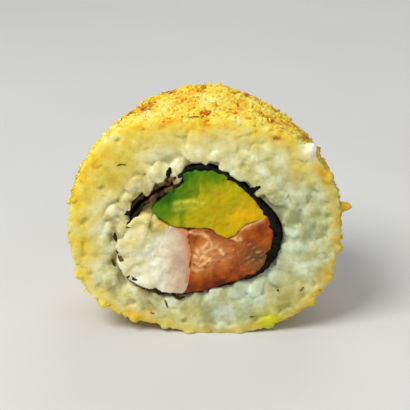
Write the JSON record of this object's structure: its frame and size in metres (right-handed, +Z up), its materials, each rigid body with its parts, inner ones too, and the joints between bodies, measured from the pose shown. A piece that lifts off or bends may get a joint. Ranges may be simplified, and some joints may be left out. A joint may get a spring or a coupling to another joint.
{
  "type": "tempura sushi roll",
  "caption": "Cut slice of a crumbed and fried sushi roll: a rice ring with a crust round nori, avocado, salmon, prawn and cream cheese.",
  "frame": {"origin": "middle of the outer size, on the surface that the slice stands on", "axes": "+X across the cut face, +Y from the shown cut face through the slice to the far one, +Z up"},
  "size_m": [0.0532, 0.0272, 0.0421],
  "materials": {
    "rice": "matte",
    "nori": "satin",
    "avocado": "satin",
    "salmon": "gloss",
    "prawn": "satin",
    "cream_cheese": "satin"
  },
  "bodies": {
    "root": {"rice": "rice", "nori": "nori", "avocado": "avocado", "salmon": "salmon", "prawn": "prawn", "cream_cheese": "cream_cheese"}
  },
  "joints": []
}
